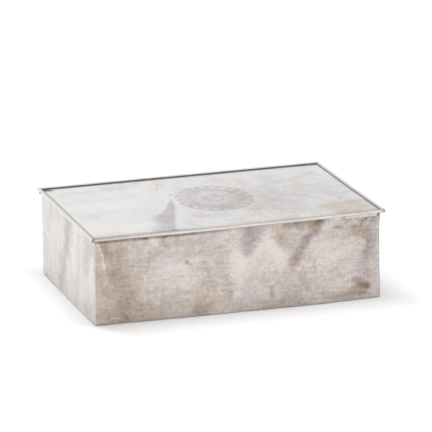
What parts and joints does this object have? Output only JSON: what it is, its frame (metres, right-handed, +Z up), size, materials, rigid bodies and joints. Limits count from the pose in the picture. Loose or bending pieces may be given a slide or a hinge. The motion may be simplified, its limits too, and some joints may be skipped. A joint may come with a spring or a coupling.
{
  "type": "silver box",
  "caption": "Low rectangular sheet-silver box with plain walls and a flat wire-rimmed lid on a full-length back hinge, for papers and keepsakes.",
  "frame": {"origin": "middle of the box's footprint, on the surface that it stands on", "axes": "+X along the length to the right, +Y to the back where the hinge is, +Z up; the front faces -Y"},
  "size_m": [0.2672, 0.1672, 0.0786],
  "materials": {
    "body_silver": "old sheet silver, satin, with brown and grey tarnish",
    "lid_silver": "old sheet silver, worn bright, with fine scratches",
    "rim_silver": "drawn silver wire, worn bright on top, dark in the crevice",
    "bezel_silver": "sheet silver strip, satin",
    "hinge_silver": "drawn silver tube and wire, dull with tarnish"
  },
  "bodies": {
    "box": {"base_plate": "body_silver", "front_wall": "body_silver", "right_wall": "body_silver", "back_wall": "body_silver", "left_wall": "body_silver", "hinge_bearer": "body_silver", "hinge_pin": "hinge_silver", "box_knuckle_1": "hinge_silver", "box_knuckle_2": "hinge_silver", "box_knuckle_3": "hinge_silver", "box_knuckle_4": "hinge_silver", "box_knuckle_5": "hinge_silver"},
    "lid": {"lid_plate": "lid_silver", "lid_rim_front": "rim_silver", "lid_rim_right": "rim_silver", "lid_rim_back": "rim_silver", "lid_rim_left": "rim_silver", "lid_bezel_front": "bezel_silver", "lid_bezel_right": "bezel_silver", "lid_bezel_left": "bezel_silver", "lid_knuckle_1": "hinge_silver", "lid_knuckle_2": "hinge_silver", "lid_knuckle_3": "hinge_silver", "lid_knuckle_4": "hinge_silver"}
  },
  "joints": [
    {"name": "lid_hinge", "type": "hinge", "parent": "box", "child": "lid", "pos_m": [0, 0.0819, 0.0741], "axis": [-1, 0, 0], "range_deg": [0, 105]}
  ]
}
